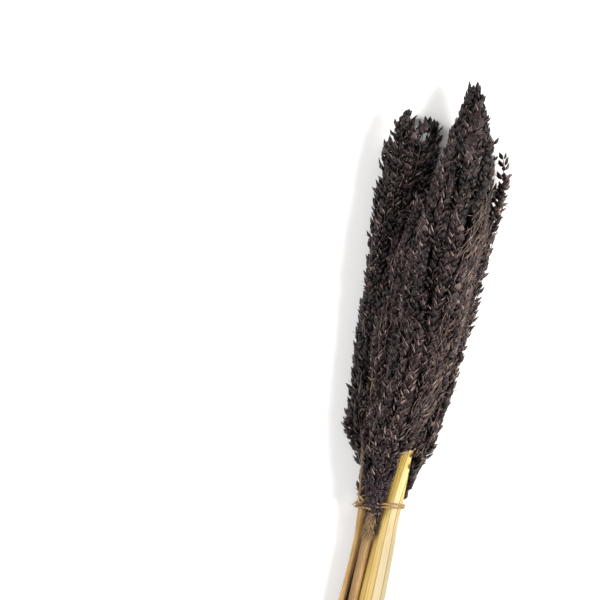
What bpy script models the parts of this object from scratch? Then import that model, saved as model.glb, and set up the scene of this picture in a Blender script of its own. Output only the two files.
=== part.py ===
"""Four dried sorghum seed heads on cut stalks, tied at the neck with jute twine and lying on a surface.

The bunch lies along Y, with its tips towards +Y and +Z up. Each head is a stalk that runs on through the
head as its rachis, with the seed branches around it in whorls. The heads press flat against each other
and against the surface they lie on. All sizes are in millimetres, measured from the tie.
"""

import math

import bpy
import numpy as np

MM = 0.001

# The bunch
BUNCH_PLACE = (4.13, -23.5, 0.0)  # puts the origin under the middle of the bunch
CUT_END = -215.0  # where the stalks are cut off
PRESS_GAP = 1.1  # between two heads that press on each other
BEYOND_TIP = 14.0  # how far past its tip a head still keeps its neighbours off
BRANCH_GAP = 0.7  # between neighbouring seed branches of a whorl
WHORL_GAP = 2.2  # between a whorl and the next
RACHIS_GAP = 0.4  # between a stalk and the pieces round it

# Each head: its centreline as (y, x, z), the radius of all that is round the stalk there as (y, radius),
# the stalk's own radius as (y, radius), and its whorls as (y on the rachis, number of branches).
HEADS = {
    "front": {
        "line": [
            (-215, -3.9, 3.1), (-120, -4.6, 11.6), (-58, -4.5, 16.8), (-23, -4.2, 19.2), (0, -4.4, 20.4),
            (20, -6.2, 25.2), (45, -2.4, 29.8), (80, 2.6, 33.8), (120, 4.4, 35.2), (165, 5.2, 34.6),
            (205, 8.8, 31.5), (232, 6.8, 27.5), (250, 4.2, 24.0), (262, 1.5, 21.5),
        ],
        "radius": [
            (-215, 3.7), (-8, 3.7), (8, 6.4), (20, 9.0), (33, 11.4), (45, 14.2), (80, 17.6), (120, 20.2),
            (165, 21.2), (205, 18.6), (232, 12.4), (250, 7.4), (262, 2.0),
        ],
        "stalk": [(-215, 3.1), (-58, 2.7), (-20, 2.9), (0, 3.1), (60, 2.8), (140, 2.0), (212, 1.0)],
        "whorls": [(5, 4), (50, 4), (106, 4), (162, 4)],
        "tip": (215, 262),
    },
    "left": {
        "line": [
            (-215, -19.2, 2.5), (-120, -14.6, 8.6), (-58, -10.6, 12.6), (-23, -9.4, 13.9), (0, -10.2, 14.4),
            (20, -10.2, 15.8), (42, -10.4, 18.6), (67, -11.6, 21.2), (112, -14.2, 25.0), (140, -15.0, 25.8),
            (160, -15.8, 25.6), (186, -16.0, 25.2),
        ],
        "radius": [
            (-215, 3.3), (0, 3.4), (11, 5.0), (22, 7.2), (42, 10.8), (67, 10.6), (112, 11.8), (140, 9.8),
            (160, 7.2), (186, 1.8),
        ],
        "stalk": [(-215, 2.5), (-58, 1.9), (-20, 2.3), (0, 2.9), (60, 2.2), (145, 0.9)],
        "whorls": [(4, 3), (52, 4), (100, 3)],
        "tip": (147, 186),
    },
    "right": {
        "line": [
            (-215, 9.5, 7.6), (-120, 7.4, 10.6), (-58, 6.3, 13.0), (-23, 6.2, 14.2), (0, 6.5, 14.6),
            (20, 8.0, 13.8), (40, 9.8, 13.0), (63, 11.6, 13.0), (85, 12.8, 13.4), (110, 14.6, 13.6),
            (140, 18.0, 13.2), (175, 22.8, 11.6), (200, 25.0, 9.8), (216, 22.5, 8.8), (232, 19.0, 8.2),
        ],
        "radius": [
            (-215, 8.6), (-58, 8.2), (-8, 6.1), (8, 6.4), (20, 9.0), (40, 12.4), (63, 13.8), (85, 14.3),
            (110, 14.4), (140, 12.8), (175, 10.2), (200, 8.4), (216, 7.4), (232, 2.0),
        ],
        "stalk": [(-215, 4.9), (-58, 4.7), (0, 4.2), (60, 3.0), (168, 1.0)],
        "whorls": [(8, 4), (62, 4), (116, 3)],
        "tip": (170, 232),
    },
    "back": {
        "line": [
            (-215, -12.0, 3.3), (-120, -9.8, 4.8), (-58, -8.0, 6.6), (0, -4.6, 9.2), (24, -12.6, 8.4),
            (42, -16.8, 10.2), (60, -18.4, 12.0), (90, -21.8, 13.0), (120, -23.6, 13.4), (160, -25.2, 13.6),
            (200, -27.0, 13.6), (240, -27.0, 12.6),
        ],
        "radius": [
            (-215, 3.3), (0, 3.4), (14, 4.6), (24, 7.4), (42, 11.6), (60, 12.6), (90, 13.4), (120, 13.8),
            (160, 13.8), (200, 15.0), (222, 14.4), (232, 10.4), (240, 4.0),
        ],
        "stalk": [(-215, 3.3), (-58, 3.1), (0, 3.0), (60, 2.4), (184, 1.0)],
        "whorls": [(20, 3), (66, 4), (126, 3)],
        "tip": (187, 240),
    },
}
BRANCH_RISE = 26.0  # how much further up a branch reaches the outside of the head than it leaves the rachis
BRANCH_ROUNDING = 4.0  # 2 is a ball, and a large number a sharp block
BRANCH_CELLS = (4, 7, 2)  # cells across, along and through a branch
STALK_SIDES = 12
STALK_STEP = (22.0, 7.0)  # between the rings of a stalk, below the head and in it

# The lowest branch of the front head, which hangs down over the tie
HANGING_SPAN = (-11.0, 15.0)
HANGING_ANGLES = (54.0, 130.0)
HANGING_THICKNESS = 4.2

# The leaf sheath round the right stalk: an open gutter, cut off at a slant above the tie
SHEATH_THICKNESS = 0.9
SHEATH_START = -203.0
SHEATH_TOP = (32.5, 38.3)  # y of the cut at its left and right corner
SHEATH_INNER = [(-203, 7.6), (-120, 7.6), (-58, 7.3), (-23, 6.4), (-6, 5.2), (6, 5.2), (22, 5.8), (39, 6.4)]
SHEATH_LEFT = [(-203, 205), (-40, 200), (-10, 185), (5, 176), (22, 162), (33, 131), (39, 116)]
SHEATH_RIGHT = [(-203, -40), (-40, -35), (-10, -20), (4, 12), (22, 52), (33, 68), (39, 74)]
SHEATH_CELLS = (12, 24)

# The tie: jute twine wound round the neck, and its knot on the left with two short ends
TWINE_RADIUS = 0.65
TWINE_TURNS = 2.2
TWINE_PITCH = 1.9
TWINE_SLANT = 0.16  # how much the twine climbs for each millimetre it goes to the right
TWINE_START = 150.0  # degrees round the neck, at the knot
NECK_RADII = {"front": 4.4, "left": 3.4, "right": 6.1, "back": 3.4}
NECK_GAP = 0.8  # between the twine and what it holds
KNOT_SIZE = 0.9
KNOT_DEPTH = 1.5
KNOT_RADIUS = 0.5
KNOT_TURN = (0.0, 60.0, 10.0)  # degrees
KNOT_OFF = (-2.0, 2.6, 5.2)  # from the twine's start to the middle of the knot
KNOT_TAILS = 6.0

COLOURS = {
    "sorghum_grain": ((0.05, 0.035, 0.035), 0.75),
    "dried_stalk": ((0.42, 0.25, 0.09), 0.5),
    "straw_sheath": ((0.68, 0.5, 0.22), 0.55),
    "jute": ((0.4, 0.27, 0.12), 0.85),
}


def through(points, column=1):
    """A smooth function of y through the points, with no overshoot between them (a monotone cubic)."""
    table = np.array(points, float)
    at, value = table[:, 0], table[:, column]
    step = np.diff(value) / np.diff(at)
    slope = np.zeros(len(at))
    same_way = step[:-1] * step[1:] > 0
    mean = 2 * step[:-1] * step[1:] / np.where(same_way, step[:-1] + step[1:], 1)
    slope[1:-1] = np.where(same_way, mean, 0)
    slope[0], slope[-1] = step[0], step[-1]

    def value_at(y):
        y = np.clip(np.asarray(y, float), at[0], at[-1])
        i = np.clip(np.searchsorted(at, y) - 1, 0, len(at) - 2)
        width = at[i + 1] - at[i]
        t = (y - at[i]) / width
        return (
            (1 + 2 * t) * (1 - t) ** 2 * value[i]
            + t * (1 - t) ** 2 * width * slope[i]
            + t * t * (3 - 2 * t) * value[i + 1]
            + t * t * (t - 1) * width * slope[i + 1]
        )

    return value_at


class Head:
    """One seed head: its centreline and radii as functions of y."""

    def __init__(self, name, facts):
        self.name = name
        self.x = through(facts["line"], 1)
        self.z = through(facts["line"], 2)
        self.radius = through(facts["radius"])
        self.stalk = through(facts["stalk"])
        self.stalk_end = facts["stalk"][-1][0]
        self.whorls = facts["whorls"]
        self.tip_start, self.tip = facts["tip"]

    def place(self, y, r, angle):
        """Points at distance r from the centreline, in the plane across the bunch at y."""
        return np.stack([self.x(y) + r * np.cos(angle), y, self.z(y) + r * np.sin(angle)], axis=-1)

    def rise(self, y):
        """How far up a branch from y on the rachis climbs on its way to the outside of the head."""
        base = self.whorls[0][0]
        return np.minimum(np.minimum(BRANCH_RISE, 3 + 0.45 * (y - base)), 0.45 * (self.tip - y))


heads = {name: Head(name, facts) for name, facts in HEADS.items()}
sheath_inner = through(SHEATH_INNER)
sheath_left = through(SHEATH_LEFT)
sheath_right = through(SHEATH_RIGHT)


def pressed(head, y, angle, reach):
    """reach, cut short where the floor or a neighbour presses on the head. Two heads meet on the line
    where a point is as far outside the one as the other, as two soap bubbles would."""
    down = np.sin(angle) < -1e-6
    reach = np.where(down, np.minimum(reach, head.z(y) / np.where(down, -np.sin(angle), 1)), reach)
    own = head.radius(y)
    for other in heads.values():
        if other is head:
            continue
        dx, dz = other.x(y) - head.x(y), other.z(y) - head.z(y)
        apart = np.hypot(dx, dz)
        border = (apart**2 + own**2 - other.radius(y) ** 2) / (2 * apart) - PRESS_GAP / 2
        facing = np.cos(angle - np.arctan2(dz, dx))
        meets = (facing > 1e-3) & (y < other.tip + BEYOND_TIP)
        reach = np.where(meets, np.minimum(reach, border / np.where(meets, facing, 1)), reach)
    return reach


def sheath_outer(y, angle):
    """The outer radius of the sheath round the right stalk."""
    return pressed(heads["right"], y, angle, sheath_inner(y) + SHEATH_THICKNESS)


def under_sheath(y, angle):
    """1 under the leaf sheath, falling smoothly to 0 beyond its edges and its cut top."""
    degrees = np.degrees(np.arctan2(np.sin(angle - np.pi / 2), np.cos(angle - np.pi / 2))) + 90
    inside = np.minimum(degrees - sheath_right(y), sheath_left(y) - degrees)
    across = np.clip(1 + (inside + 18) / 16, 0, 1)
    along = np.clip(1 - (y - SHEATH_TOP[1] - 9) / 8, 0, 1)
    return across * along


def branch_reach(head, y, angle):
    """How far the seed branches reach from the centreline of their head."""
    reach = pressed(head, y, angle, head.radius(y))
    if head.name == "right":
        lid = sheath_outer(y, angle) - SHEATH_THICKNESS - 2 * RACHIS_GAP
        reach += under_sheath(y, angle) * np.minimum(lid - reach, 0)
    return reach


def block(cells, rounding):
    """Points and quads of a rounded block, each side at most 1 from the middle."""
    n = np.array(cells)
    number = -np.ones(n + 1, int)
    grid = np.stack(np.meshgrid(*[np.arange(k + 1) for k in n], indexing="ij"), axis=-1)
    edge = ((grid == 0) | (grid == n)).any(axis=-1)
    number[edge] = np.arange(edge.sum())
    points = 2.0 * grid[edge] / n - 1
    points /= (np.abs(points) ** rounding).sum(axis=1, keepdims=True) ** (1 / rounding)
    quads = []
    for axis in range(3):
        for side, far in ((0, False), (-1, True)):
            face = np.take(number, side, axis=axis)
            corners = np.stack([face[:-1, :-1], face[1:, :-1], face[1:, 1:], face[:-1, 1:]], axis=-1)
            flip = far != (axis == 1)
            quads.append((corners[..., ::-1] if flip else corners).reshape(-1, 4))
    return points, np.concatenate(quads)


def closed_tube(rings):
    """Quads and caps for rings of points, given as an array of rings by points by 3."""
    count, sides = rings.shape[:2]
    ring, side = np.meshgrid(np.arange(count - 1), np.arange(sides), indexing="ij")
    a, b = ring * sides + side, ring * sides + (side + 1) % sides
    walls = np.stack([a, b, b + sides, a + sides], axis=-1).reshape(-1, 4).tolist()
    caps = [list(range(sides))[::-1], list(range((count - 1) * sides, count * sides))]
    return rings.reshape(-1, 3), walls + caps


def material(name):
    """The Principled material of that name, made once."""
    made = bpy.data.materials.get(name) or bpy.data.materials.new(name)
    colour, roughness = COLOURS[name]
    made.use_nodes = True
    shader = made.node_tree.nodes["Principled BSDF"]
    shader.inputs["Base Color"].default_value = (*colour, 1)
    shader.inputs["Roughness"].default_value = roughness
    shader.inputs["Metallic"].default_value = 0
    return made


def piece(name, points, faces, material_name, holder):
    """A named object, its mesh measured from its holder, with its normals out and its curves smooth."""
    mesh = bpy.data.meshes.new(name)
    local = (np.asarray(points) - np.array(holder["centre"])) * MM
    mesh.from_pydata(local.tolist(), [], [list(map(int, face)) for face in faces])
    mesh.materials.append(material(material_name))
    mesh.shade_smooth()
    mesh.set_sharp_from_angle(angle=math.radians(50))
    made = bpy.data.objects.new(name, mesh)
    bpy.context.scene.collection.objects.link(made)
    made.parent = holder
    return made


def holder_at(name, centre, parent=None):
    """An empty that pieces hang on, at a point given in the bunch's own millimetres."""
    made = bpy.data.objects.new(name, None)
    made["centre"] = centre
    bpy.context.scene.collection.objects.link(made)
    made.parent = parent
    made.location = [c * MM for c in centre]
    return made


def stalk(head, holder):
    """The cut stalk, which goes on through the head as its rachis."""
    base = head.whorls[0][0] - 6.0
    below = np.linspace(CUT_END, base, round((base - CUT_END) / STALK_STEP[0]) + 1)
    inside = np.linspace(base, head.stalk_end, round((head.stalk_end - base) / STALK_STEP[1]) + 1)
    angle = -np.arange(STALK_SIDES) * 2 * np.pi / STALK_SIDES
    y, angle = np.meshgrid(np.concatenate([below[:-1], inside]), angle, indexing="ij")
    rings = head.place(y, head.stalk(y), angle)
    rings[..., 2] = np.maximum(rings[..., 2], 0)
    points, faces = closed_tube(rings)
    piece(f"{head.name}_stalk", points, faces, "dried_stalk", holder)


def seed_branches(head, holder):
    """The branches of each whorl. Each fills its share of the head, from the rachis to the outside, and
    climbs as it goes outwards; whorls are turned by half a branch from each other."""
    unit, quads = block(BRANCH_CELLS, BRANCH_ROUNDING)
    ends = [y for y, _ in head.whorls[1:]] + [head.tip_start]
    for whorl, ((start, count), end) in enumerate(zip(head.whorls, ends)):
        foot = start + (end - start) * (unit[:, 1] + 1) / 2
        foot -= WHORL_GAP / 2 * unit[:, 1]
        for number in range(count):
            middle = 2 * np.pi * (number + 0.5 * (whorl % 2)) / count
            share = (unit[:, 2] + 1) / 2
            y = foot + head.rise(foot) * share
            half = np.pi / count
            angle = middle + half * unit[:, 0]
            inner = head.stalk(y) + RACHIS_GAP
            outer = np.maximum(branch_reach(head, y, angle), inner + 0.3)
            r = inner + (outer - inner) * share
            angle = middle + (half - BRANCH_GAP / 2 / r) * unit[:, 0]
            points = head.place(y, r, angle)
            points[:, 2] = np.maximum(points[:, 2], 0)
            name = f"{head.name}_whorl{whorl + 1}_branch{number + 1}"
            piece(name, points, quads, "sorghum_grain", holder)


def hanging_branch(head, holder):
    """The lowest branch of the front head, which hangs down over the tie and hides it there."""
    unit, quads = block(BRANCH_CELLS, 2.6)
    y = np.interp(unit[:, 1], (-1, 1), HANGING_SPAN)
    angle = np.radians(np.interp(unit[:, 0], (-1, 1), HANGING_ANGLES))
    over_twine = np.interp(y, (-10, -7), (head.stalk(0) + 1.2, NECK_RADII["front"] + NECK_GAP))
    over_twine += 2 * TWINE_RADIUS + RACHIS_GAP
    inner = np.maximum(over_twine, branch_reach(head, y, angle) + BRANCH_GAP)
    r = inner + HANGING_THICKNESS * (unit[:, 2] + 1) / 2
    piece(f"{head.name}_hanging_branch", head.place(y, r, angle), quads, "sorghum_grain", holder)


def tip_branch(head, holder):
    """The tuft at the tip, past the end of the rachis: from its foot out along the last whorl, and
    then along the outside of the head to its tip."""
    sides, foot_rings, outer_rings = 10, 2, 5
    start = head.tip_start + WHORL_GAP / 2
    share = np.concatenate([np.linspace(0.15, 1, foot_rings + 1), np.ones(outer_rings - 1)])
    foot_y = start + head.rise(start) * share[: foot_rings + 1]
    outer_y = np.linspace(foot_y[-1], head.tip, outer_rings + 1)[1:-1]
    y = np.concatenate([foot_y, outer_y, [head.tip]])
    share = np.concatenate([share[: foot_rings + 1], np.ones(len(outer_y)), [0.35]])
    angle = -np.arange(sides) * 2 * np.pi / sides
    y, angle = np.meshgrid(y, angle, indexing="ij")
    rings = head.place(y, share[:, None] * branch_reach(head, y, angle), angle)
    rings[..., 2] = np.maximum(rings[..., 2], 0)
    points, faces = closed_tube(rings)
    piece(f"{head.name}_tip", points, faces, "sorghum_grain", holder)


def leaf_sheath(holder):
    """The leaf sheath, a gutter round the right stalk that opens towards its slanted top."""
    across, along = SHEATH_CELLS
    a, b = np.meshgrid(np.linspace(0, 1, across + 1), np.linspace(0, 1, along + 1), indexing="ij")
    top = SHEATH_TOP[0] + (SHEATH_TOP[1] - SHEATH_TOP[0]) * a
    y = SHEATH_START + (top - SHEATH_START) * (1 - (1 - b) ** 1.3)
    angle = np.radians(sheath_left(y) + (sheath_right(y) - sheath_left(y)) * a)
    outer_radius = sheath_outer(y, angle)
    outer = heads["right"].place(y, outer_radius, angle)
    inner = heads["right"].place(y, outer_radius - SHEATH_THICKNESS, angle)
    rim = np.concatenate([outer, inner[::-1]], axis=0)  # once round the sheath's cross-section
    rim[..., 2] = np.maximum(rim[..., 2], 0)
    points, faces = closed_tube(np.swapaxes(rim, 0, 1))
    # a long cross-section is capped with quads from its outer to its inner edge
    count, total = across + 1, 2 * (across + 1)
    faces = faces[:-2]
    last = along * total
    for i in range(count - 1):
        o, n = i, total - 1 - i
        faces.append([o, n, n - 1, o + 1])
        faces.append([last + o, last + o + 1, last + n - 1, last + n])
    piece("leaf_sheath", points, faces, "straw_sheath", holder)


def neck_outline(angle):
    """The point of a taut loop round the neck whose outward direction is at that angle."""
    reach, point = [], []
    for name, head in heads.items():
        r = NECK_RADII[name] + NECK_GAP + TWINE_RADIUS
        reach.append(head.x(0.0) * np.cos(angle) + head.z(0.0) * np.sin(angle) + r)
        point.append(head.place(0.0 * angle, r, angle))
    found = np.take_along_axis(np.array(point), np.argmax(reach, axis=0)[None, :, None], axis=0)[0]
    found[:, 1] = TWINE_SLANT * found[:, 0]
    return found


def tube_along(route, radius, sides):
    """Rings of points round a route of any shape, carried along it without twist."""
    tangent = np.gradient(route, axis=0)
    tangent /= np.linalg.norm(tangent, axis=1, keepdims=True)
    side = np.cross(tangent[0], (0, 1, 0))
    rings = []
    for middle, ahead in zip(route, tangent):
        side -= ahead * (side @ ahead)
        side /= np.linalg.norm(side)
        up = np.cross(ahead, side)
        angle = np.arange(sides)[:, None] * 2 * np.pi / sides
        rings.append(middle + radius * (np.cos(angle) * side + np.sin(angle) * up))
    return np.array(rings)


def resampled(route, step):
    """The route with points at even distances along it."""
    length = np.concatenate([[0], np.cumsum(np.linalg.norm(np.diff(route, axis=0), axis=1))])
    at = np.linspace(0, length[-1], int(length[-1] / step) + 1)
    return np.stack([np.interp(at, length, route[:, i]) for i in range(3)], axis=1)


def twine(holder):
    """The twine, wound round the neck from the knot, and the knot with its two ends."""
    turn = np.linspace(0, TWINE_TURNS, 400)
    angle = math.radians(TWINE_START) - turn * 2 * np.pi
    route = neck_outline(angle)
    route[:, 1] += (TWINE_TURNS / 2 - turn) * TWINE_PITCH
    piece("twine", *closed_tube(tube_along(resampled(route, 2.6), TWINE_RADIUS, 8)), "jute", holder)

    t = np.linspace(math.radians(28), math.radians(332), 60)  # most of a trefoil: an overhand knot
    knot = np.stack([np.sin(t) + 2 * np.sin(2 * t), np.cos(t) - 2 * np.cos(2 * t)], axis=1)
    knot = np.column_stack([knot, -KNOT_DEPTH * np.sin(3 * t)]) * KNOT_SIZE
    ends = []
    for end, before, lean in ((knot[0], knot[1], -0.5), (knot[-1], knot[-2], 0.5)):
        ahead = (end - before) / np.linalg.norm(end - before) + np.array([0, 0, lean])
        ends.append(end + ahead / np.linalg.norm(ahead) * KNOT_TAILS)
    route = np.concatenate([[ends[0]], knot, [ends[1]]])
    for axis, degrees in enumerate(KNOT_TURN):
        c, s = math.cos(math.radians(degrees)), math.sin(math.radians(degrees))
        u, v = (axis + 1) % 3, (axis + 2) % 3
        route[:, [u, v]] = route[:, [u, v]] @ np.array([[c, s], [-s, c]])
    start = math.radians(TWINE_START)
    place = neck_outline(np.array([start]))[0]
    place += KNOT_OFF
    points, faces = closed_tube(tube_along(resampled(route, 0.8) + place, KNOT_RADIUS, 8))
    piece("twine_knot", points, faces, "jute", holder)


def main():
    for old in list(bpy.data.objects):
        bpy.data.objects.remove(old)
    bunch = holder_at("bunch", (0.0, 0.0, 0.0))
    for head in heads.values():
        holder = holder_at(f"{head.name}_head", (float(head.x(0)), 0.0, float(head.z(0))), bunch)
        stalk(head, holder)
        seed_branches(head, holder)
        tip_branch(head, holder)
        if head.name == "front":
            hanging_branch(head, holder)
    leaf_sheath(bunch)
    twine(bunch)
    bunch.location = [c * MM for c in BUNCH_PLACE]


main()
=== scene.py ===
import math

import bpy
import numpy as np
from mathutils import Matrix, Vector


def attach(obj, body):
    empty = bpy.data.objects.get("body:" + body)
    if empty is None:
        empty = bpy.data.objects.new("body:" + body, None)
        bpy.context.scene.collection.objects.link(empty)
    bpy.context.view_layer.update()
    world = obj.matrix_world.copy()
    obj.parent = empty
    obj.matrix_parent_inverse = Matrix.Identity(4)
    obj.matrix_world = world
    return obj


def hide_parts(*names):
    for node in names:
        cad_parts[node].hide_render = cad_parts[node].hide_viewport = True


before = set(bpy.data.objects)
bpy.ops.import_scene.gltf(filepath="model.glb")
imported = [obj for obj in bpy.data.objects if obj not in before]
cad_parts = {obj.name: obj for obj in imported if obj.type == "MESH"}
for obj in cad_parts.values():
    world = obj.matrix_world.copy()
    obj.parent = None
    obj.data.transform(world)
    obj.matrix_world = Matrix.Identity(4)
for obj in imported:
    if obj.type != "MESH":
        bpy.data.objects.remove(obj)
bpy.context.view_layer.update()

mm = 0.001
bpy.context.scene.view_settings.view_transform = "Standard"
print("frame loaded:", len(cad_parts), "CAD nodes")

# ---- the bunch, in millimetres from the tie: y towards the tips, z up from the surface it lies on ----
bunch = {
    "place": (4.13, -23.5, 0.0),  # from the tie to the model's origin
    "cutEnd": -215.0,
    "pressGap": 0.6,  # left between heads that press on each other
    "pressPast": 14.0,  # how far past its tip a head still presses
}
# each head's line is (y, x, z); reach is how far its seeds stand from it, and stalk its stalk's radius;
# whorls are (y of the foot, number of branches) and tip is from y to y, as in the CAD model. The rest is
# how its seeds grow: crown, the end of the highest seeds from the tip's end; ragged, how much lower a
# branch may end; pale, lighter husks on its left; apex, the share of the reach left at the top; sparse,
# the share of branches lost above that y; base, the lowest seed; loose, how far branches stand off; tone,
# from dark 0 to light 1
heads = {
    "front": {
        "line": [
            (-215, -3.9, 3.1), (-120, -4.6, 11.6), (-58, -4.5, 16.8), (-23, -4.2, 19.2), (0, -4.4, 20.4),
            (20, -6.2, 25.2), (45, -2.4, 29.8), (80, 2.6, 33.8), (120, 4.4, 35.2), (165, 5.0, 34.6),
            (205, 6.4, 31.5), (232, 4.6, 27.5), (250, 3.4, 24.0), (262, 1.5, 21.5),
        ],
        "reach": [
            (-215, 3.7), (-8, 3.7), (8, 6.4), (20, 9.0), (33, 11.4), (45, 14.2), (80, 17.6), (120, 20.2),
            (165, 20.4), (205, 15.6), (232, 10.6), (250, 7.0), (262, 2.0),
        ],
        "stalk": [(-215, 3.1), (-58, 2.7), (-20, 2.9), (0, 3.1), (60, 2.8), (140, 2.0), (212, 1.0)],
        "whorls": [(5, 4), (50, 4), (106, 4), (162, 4)],
        "tip": (215, 262),
        "seed": 11,
        "crown": -4.5,
        "ragged": 20.0,
        "pale": 0.0,
        "apex": 0.72,
        "sparse": [(206, 0.25)],
        "base": 3.0,
        "loose": [(0, 0.0), (60, 0.1), (190, 0.15), (225, 0.5), (262, 0.6)],
        "tone": 0.43,
    },
    "left": {
        "line": [
            (-215, -19.2, 2.5), (-120, -14.6, 8.6), (-58, -10.6, 12.6), (-23, -9.4, 13.9), (0, -10.2, 14.4),
            (20, -10.2, 15.8), (42, -10.4, 18.6), (67, -11.6, 21.2), (112, -14.2, 25.0), (140, -15.0, 25.8),
            (160, -15.8, 25.6), (186, -16.0, 25.2),
        ],
        "reach": [
            (-215, 3.3), (0, 3.4), (11, 5.0), (22, 7.2), (42, 10.8), (67, 10.6), (112, 11.8), (140, 9.8),
            (160, 7.2), (186, 1.8),
        ],
        "stalk": [(-215, 2.5), (-58, 1.9), (-20, 2.3), (0, 2.9), (60, 2.2), (145, 0.9)],
        "whorls": [(4, 3), (52, 4), (100, 3)],
        "tip": (147, 186),
        "seed": 23,
        "crown": -2.0,
        "ragged": 5.0,
        "pale": 0.4,
        "apex": 1.0,
        "sparse": [],
        "base": 4.0,
        "loose": [(0, 0.1), (130, 0.1), (186, 0.4)],
        "tone": 0.36,
    },
    "right": {
        "line": [
            (-215, 9.5, 7.6), (-120, 7.4, 10.6), (-58, 6.3, 13.0), (-23, 6.2, 14.2), (0, 6.5, 14.6),
            (20, 8.0, 13.8), (40, 9.8, 13.0), (63, 11.6, 13.0), (85, 12.8, 13.4), (110, 14.6, 13.6),
            (140, 18.0, 13.2), (175, 22.8, 11.6), (200, 25.0, 9.8), (216, 22.5, 8.8), (232, 19.0, 8.2),
        ],
        "reach": [
            (-215, 8.6), (-58, 8.2), (-8, 6.1), (8, 6.4), (20, 9.0), (40, 12.4), (63, 13.8), (85, 14.3),
            (110, 14.4), (140, 12.8), (175, 10.2), (200, 8.4), (216, 7.4), (232, 2.0),
        ],
        "stalk": [(-215, 4.9), (-58, 4.7), (0, 4.2), (60, 3.0), (168, 1.0)],
        "whorls": [(8, 4), (62, 4), (116, 3)],
        "tip": (170, 232),
        "seed": 37,
        "crown": -2.0,
        "ragged": 8.0,
        "pale": 0.0,
        "apex": 1.0,
        "sparse": [(60, 0.15), (118, 0.3), (150, 0.3)],
        "base": 5.0,
        "loose": [(0, 0.1), (60, 0.3), (110, 0.5), (150, 0.9), (232, 1.0)],
        "tone": 0.4,
    },
    "back": {
        "line": [
            (-215, -12.0, 3.3), (-120, -9.8, 4.8), (-58, -8.0, 6.6), (0, -4.6, 9.2), (24, -12.6, 8.4),
            (42, -16.8, 10.2), (60, -18.4, 12.0), (90, -21.8, 13.0), (120, -23.6, 13.4), (160, -25.2, 13.6),
            (200, -27.0, 13.6), (240, -27.0, 12.6),
        ],
        "reach": [
            (-215, 3.3), (0, 3.4), (14, 4.6), (24, 7.4), (42, 11.6), (60, 12.6), (90, 13.4), (120, 13.8),
            (160, 13.8), (200, 15.0), (222, 14.4), (232, 10.4), (240, 4.0),
        ],
        "stalk": [(-215, 3.3), (-58, 3.1), (0, 3.0), (60, 2.4), (184, 1.0)],
        "whorls": [(20, 3), (66, 4), (126, 3)],
        "tip": (187, 240),
        "seed": 53,
        "crown": -8.0,
        "ragged": 8.0,
        "pale": 0.0,
        "apex": 1.0,
        "sparse": [(165, 0.4), (190, 0.3)],
        "base": 16.0,
        "loose": [(0, 0.9), (50, 0.6), (65, 0.2), (170, 0.3), (205, 0.9), (240, 1.0)],
        # darker than the other heads: painted shade, as this head lies lowest, behind and under them
        "tone": 0.25,
    },
}


def smoothThrough(points, column=1):
    # a monotone cubic through the points: harmonic mean of the slopes on both sides, so it never overshoots
    table = np.array(points, float)
    at, value = table[:, 0], table[:, column]
    step = np.diff(value) / np.diff(at)
    sameWay = step[:-1] * step[1:] > 0
    slope = np.zeros(len(at))
    slope[1:-1] = np.where(sameWay, 2 * step[:-1] * step[1:] / np.where(sameWay, step[:-1] + step[1:], 1), 0)
    slope[0], slope[-1] = step[0], step[-1]

    def valueAt(y):
        y = np.clip(np.asarray(y, float), at[0], at[-1])
        i = np.clip(np.searchsorted(at, y) - 1, 0, len(at) - 2)
        width = at[i + 1] - at[i]
        t = (y - at[i]) / width
        return (
            (1 + 2 * t) * (1 - t) ** 2 * value[i]
            + t * (1 - t) ** 2 * width * slope[i]
            + t * t * (3 - 2 * t) * value[i + 1]
            + t * t * (t - 1) * width * slope[i + 1]
        )

    return valueAt


for name, head in heads.items():
    head["name"] = name
    head["x"] = smoothThrough(head["line"], 1)
    head["z"] = smoothThrough(head["line"], 2)
    head["radius"] = smoothThrough(head["reach"])
    head["stalkRadius"] = smoothThrough(head["stalk"])


def onHead(head, y, r, angle):
    # a point r from the head's centreline, in the plane across the bunch at y
    return np.stack([head["x"](y) + r * np.cos(angle), y + 0 * r, head["z"](y) + r * np.sin(angle)], axis=-1)


def headReach(head, points):
    return np.hypot(points[..., 0] - head["x"](points[..., 1]), points[..., 2] - head["z"](points[..., 1]))


def headAngle(head, points):
    return np.arctan2(points[..., 2] - head["z"](points[..., 1]), points[..., 0] - head["x"](points[..., 1]))


def pressedReach(head, y, angle, reach):
    # the reach is cut by the surface below, height over downward slope, and by each neighbour at the line
    # where a point is as far outside the one head as the other
    down = np.sin(angle) < -1e-6
    reach = np.where(down, np.minimum(reach, head["z"](y) / np.where(down, -np.sin(angle), 1)), reach)
    own = head["radius"](y)
    for other in heads.values():
        if other is head:
            continue
        dx, dz = other["x"](y) - head["x"](y), other["z"](y) - head["z"](y)
        apart = np.hypot(dx, dz)
        border = (apart**2 + own**2 - other["radius"](y) ** 2) / (2 * apart) - bunch["pressGap"] / 2
        facing = np.cos(angle - np.arctan2(dz, dx))
        meets = (facing > 1e-3) & (y < other["tip"][1] + bunch["pressPast"])
        reach = np.where(meets, np.minimum(reach, border / np.where(meets, facing, 1)), reach)
    return reach


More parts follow.
